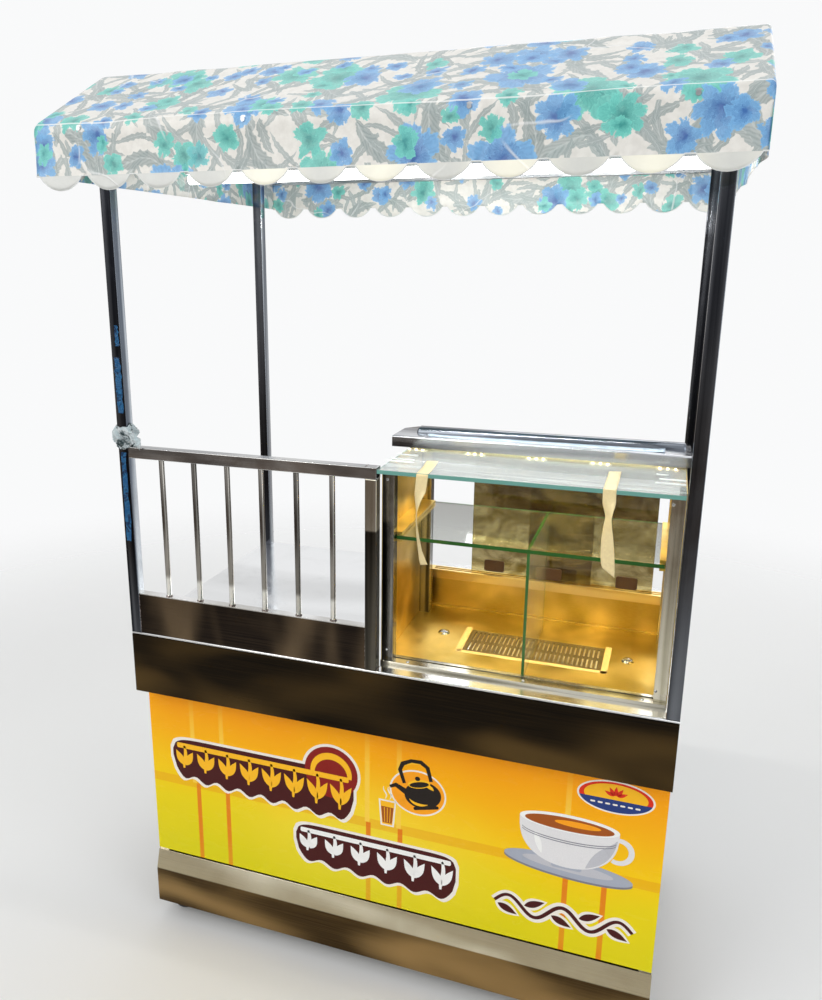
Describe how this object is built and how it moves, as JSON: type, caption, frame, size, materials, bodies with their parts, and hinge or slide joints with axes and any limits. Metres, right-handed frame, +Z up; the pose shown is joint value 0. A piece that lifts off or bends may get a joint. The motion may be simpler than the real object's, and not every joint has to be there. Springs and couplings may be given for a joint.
{
  "type": "push vending cart",
  "caption": "Push vending cart on swivel casters, with a steel counter, railing, lit glass display case with sliding doors, rear cabinet and scalloped fabric canopy.",
  "frame": {"origin": "on the floor, under the middle of the canopy's box", "axes": "+Z up, +X to the cart's right seen from the front, front faces -Y"},
  "size_m": [1.284, 1.032, 2.038],
  "materials": {
    "steel": "brushed, bright",
    "polished_steel": "polished",
    "plinth_steel": "brushed, champagne",
    "case_steel": "satin, gold",
    "zinc_plate": "bright zinc",
    "tread": "matte",
    "pedal_paint": "satin",
    "printed_panel": "gloss print",
    "frame_tube": "satin",
    "canopy_fabric": "glossy coated, floral print",
    "white_enamel": "gloss",
    "lamp_diffuser": "milky, lit",
    "track_aluminium": "satin",
    "clear_glass": "clear, green edges",
    "brown_plastic": "satin",
    "white_plastic": "gloss",
    "driver_case": "matte"
  },
  "bodies": {
    "cart": {"countertop": "steel", "fascia_front": "polished_steel", "fascia_band": "polished_steel", "cabinet_legs": "steel", "base_frame": "steel", "front_panel": "printed_panel", "side_panels": "steel", "plinth_front": "plinth_steel", "plinth_sides": "plinth_steel", "bottom_deck": "steel", "cabinet_shelf": "steel", "door_hinges": "zinc_plate", "caster_plates": "zinc_plate", "corner_posts": "polished_steel", "rail_top": "steel", "rail_post": "polished_steel", "rail_bars": "steel", "kick_panel": "polished_steel", "canopy_frame": "frame_tube", "canopy_roof": "canopy_fabric", "canopy_valance_front": "canopy_fabric", "canopy_valance_rear": "canopy_fabric", "canopy_sides": "canopy_fabric", "canopy_screws": "zinc_plate", "light_batten": "white_enamel", "light_tube": "lamp_diffuser", "case_sill": "steel", "case_posts": "steel", "case_floor": "case_steel", "floor_grille": "case_steel", "case_sides": "case_steel", "case_back_wall": "case_steel", "door_tracks": "track_aluminium", "glass_top": "clear_glass", "glass_shelf": "clear_glass", "glass_divider": "clear_glass", "hood": "polished_steel", "led_bar": "lamp_diffuser", "switch_box": "white_plastic", "led_driver": "driver_case"},
    "rear_door_left": {"rear_door_left": "steel", "door_handle_left": "steel"},
    "rear_door_right": {"rear_door_right": "steel", "door_handle_right": "steel"},
    "glass_door_left": {"glass_door_left": "clear_glass", "glass_pulls_left": "brown_plastic"},
    "glass_door_right": {"glass_door_right": "clear_glass", "glass_pulls_right": "brown_plastic"},
    "canopy_switch": {"rocker_canopy": "white_plastic"},
    "display_switch": {"rocker_display": "white_plastic"},
    "caster_fl": {"caster_fork_fl": "zinc_plate"},
    "wheel_fl": {"caster_wheel_fl": "tread"},
    "caster_fr": {"caster_fork_fr": "zinc_plate"},
    "wheel_fr": {"caster_wheel_fr": "tread"},
    "caster_rl": {"caster_fork_rl": "zinc_plate"},
    "wheel_rl": {"caster_wheel_rl": "tread"},
    "pedal_rl": {"brake_pedal_rl": "pedal_paint"},
    "caster_rr": {"caster_fork_rr": "zinc_plate"},
    "wheel_rr": {"caster_wheel_rr": "tread"},
    "pedal_rr": {"brake_pedal_rr": "pedal_paint"}
  },
  "joints": [
    {"name": "rear_door_left_hinge", "type": "hinge", "parent": "cart", "child": "rear_door_left", "pos_m": [-0.581, 0.3265, 0.3965], "axis": [0, 0, 1], "range_deg": [0, 110]},
    {"name": "rear_door_right_hinge", "type": "hinge", "parent": "cart", "child": "rear_door_right", "pos_m": [0.581, 0.3265, 0.3965], "axis": [0, 0, -1], "range_deg": [0, 110]},
    {"name": "glass_door_left_slide", "type": "slide", "parent": "cart", "child": "glass_door_left", "axis": [1, 0, 0], "range_m": [-0.092, 0.164]},
    {"name": "glass_door_right_slide", "type": "slide", "parent": "cart", "child": "glass_door_right", "axis": [1, 0, 0], "range_m": [-0.232, 0.024]},
    {"name": "canopy_switch_rocker", "type": "hinge", "parent": "cart", "child": "canopy_switch", "pos_m": [0.446, 0.3555, 0.743], "axis": [-1, 0, 0], "range_deg": [0, 12]},
    {"name": "display_switch_rocker", "type": "hinge", "parent": "cart", "child": "display_switch", "pos_m": [0.484, 0.3555, 0.743], "axis": [-1, 0, 0], "range_deg": [0, 12]},
    {"name": "caster_fl_swivel", "type": "hinge", "parent": "cart", "child": "caster_fl", "pos_m": [-0.536, -0.2625, 0.095], "axis": [0, 0, 1], "continuous": true},
    {"name": "wheel_fl_spin", "type": "hinge", "parent": "caster_fl", "child": "wheel_fl", "pos_m": [-0.5558, -0.2823, 0.0375], "axis": [0.7071, -0.7071, 0], "continuous": true},
    {"name": "caster_fr_swivel", "type": "hinge", "parent": "cart", "child": "caster_fr", "pos_m": [0.536, -0.2625, 0.095], "axis": [0, 0, 1], "continuous": true},
    {"name": "wheel_fr_spin", "type": "hinge", "parent": "caster_fr", "child": "wheel_fr", "pos_m": [0.52642, -0.28881, 0.0375], "axis": [0.9397, -0.342, 0], "continuous": true},
    {"name": "caster_rl_swivel", "type": "hinge", "parent": "cart", "child": "caster_rl", "pos_m": [-0.522, 0.2335, 0.095], "axis": [0, 0, 1], "continuous": true},
    {"name": "wheel_rl_spin", "type": "hinge", "parent": "caster_rl", "child": "wheel_rl", "pos_m": [-0.522, 0.2615, 0.0375], "axis": [-1, 0, 0], "continuous": true},
    {"name": "brake_pedal_rl_press", "type": "hinge", "parent": "caster_rl", "child": "pedal_rl", "pos_m": [-0.522, 0.2855, 0.0755], "axis": [-1, 0, 0], "range_deg": [0, 20]},
    {"name": "caster_rr_swivel", "type": "hinge", "parent": "cart", "child": "caster_rr", "pos_m": [0.522, 0.2335, 0.095], "axis": [0, 0, 1], "continuous": true},
    {"name": "wheel_rr_spin", "type": "hinge", "parent": "caster_rr", "child": "wheel_rr", "pos_m": [0.52925, 0.26055, 0.0375], "axis": [-0.9659, 0.2588, 0], "continuous": true},
    {"name": "brake_pedal_rr_press", "type": "hinge", "parent": "caster_rr", "child": "pedal_rr", "pos_m": [0.53546, 0.28373, 0.0755], "axis": [-0.9659, 0.2588, 0], "range_deg": [0, 20]}
  ]
}
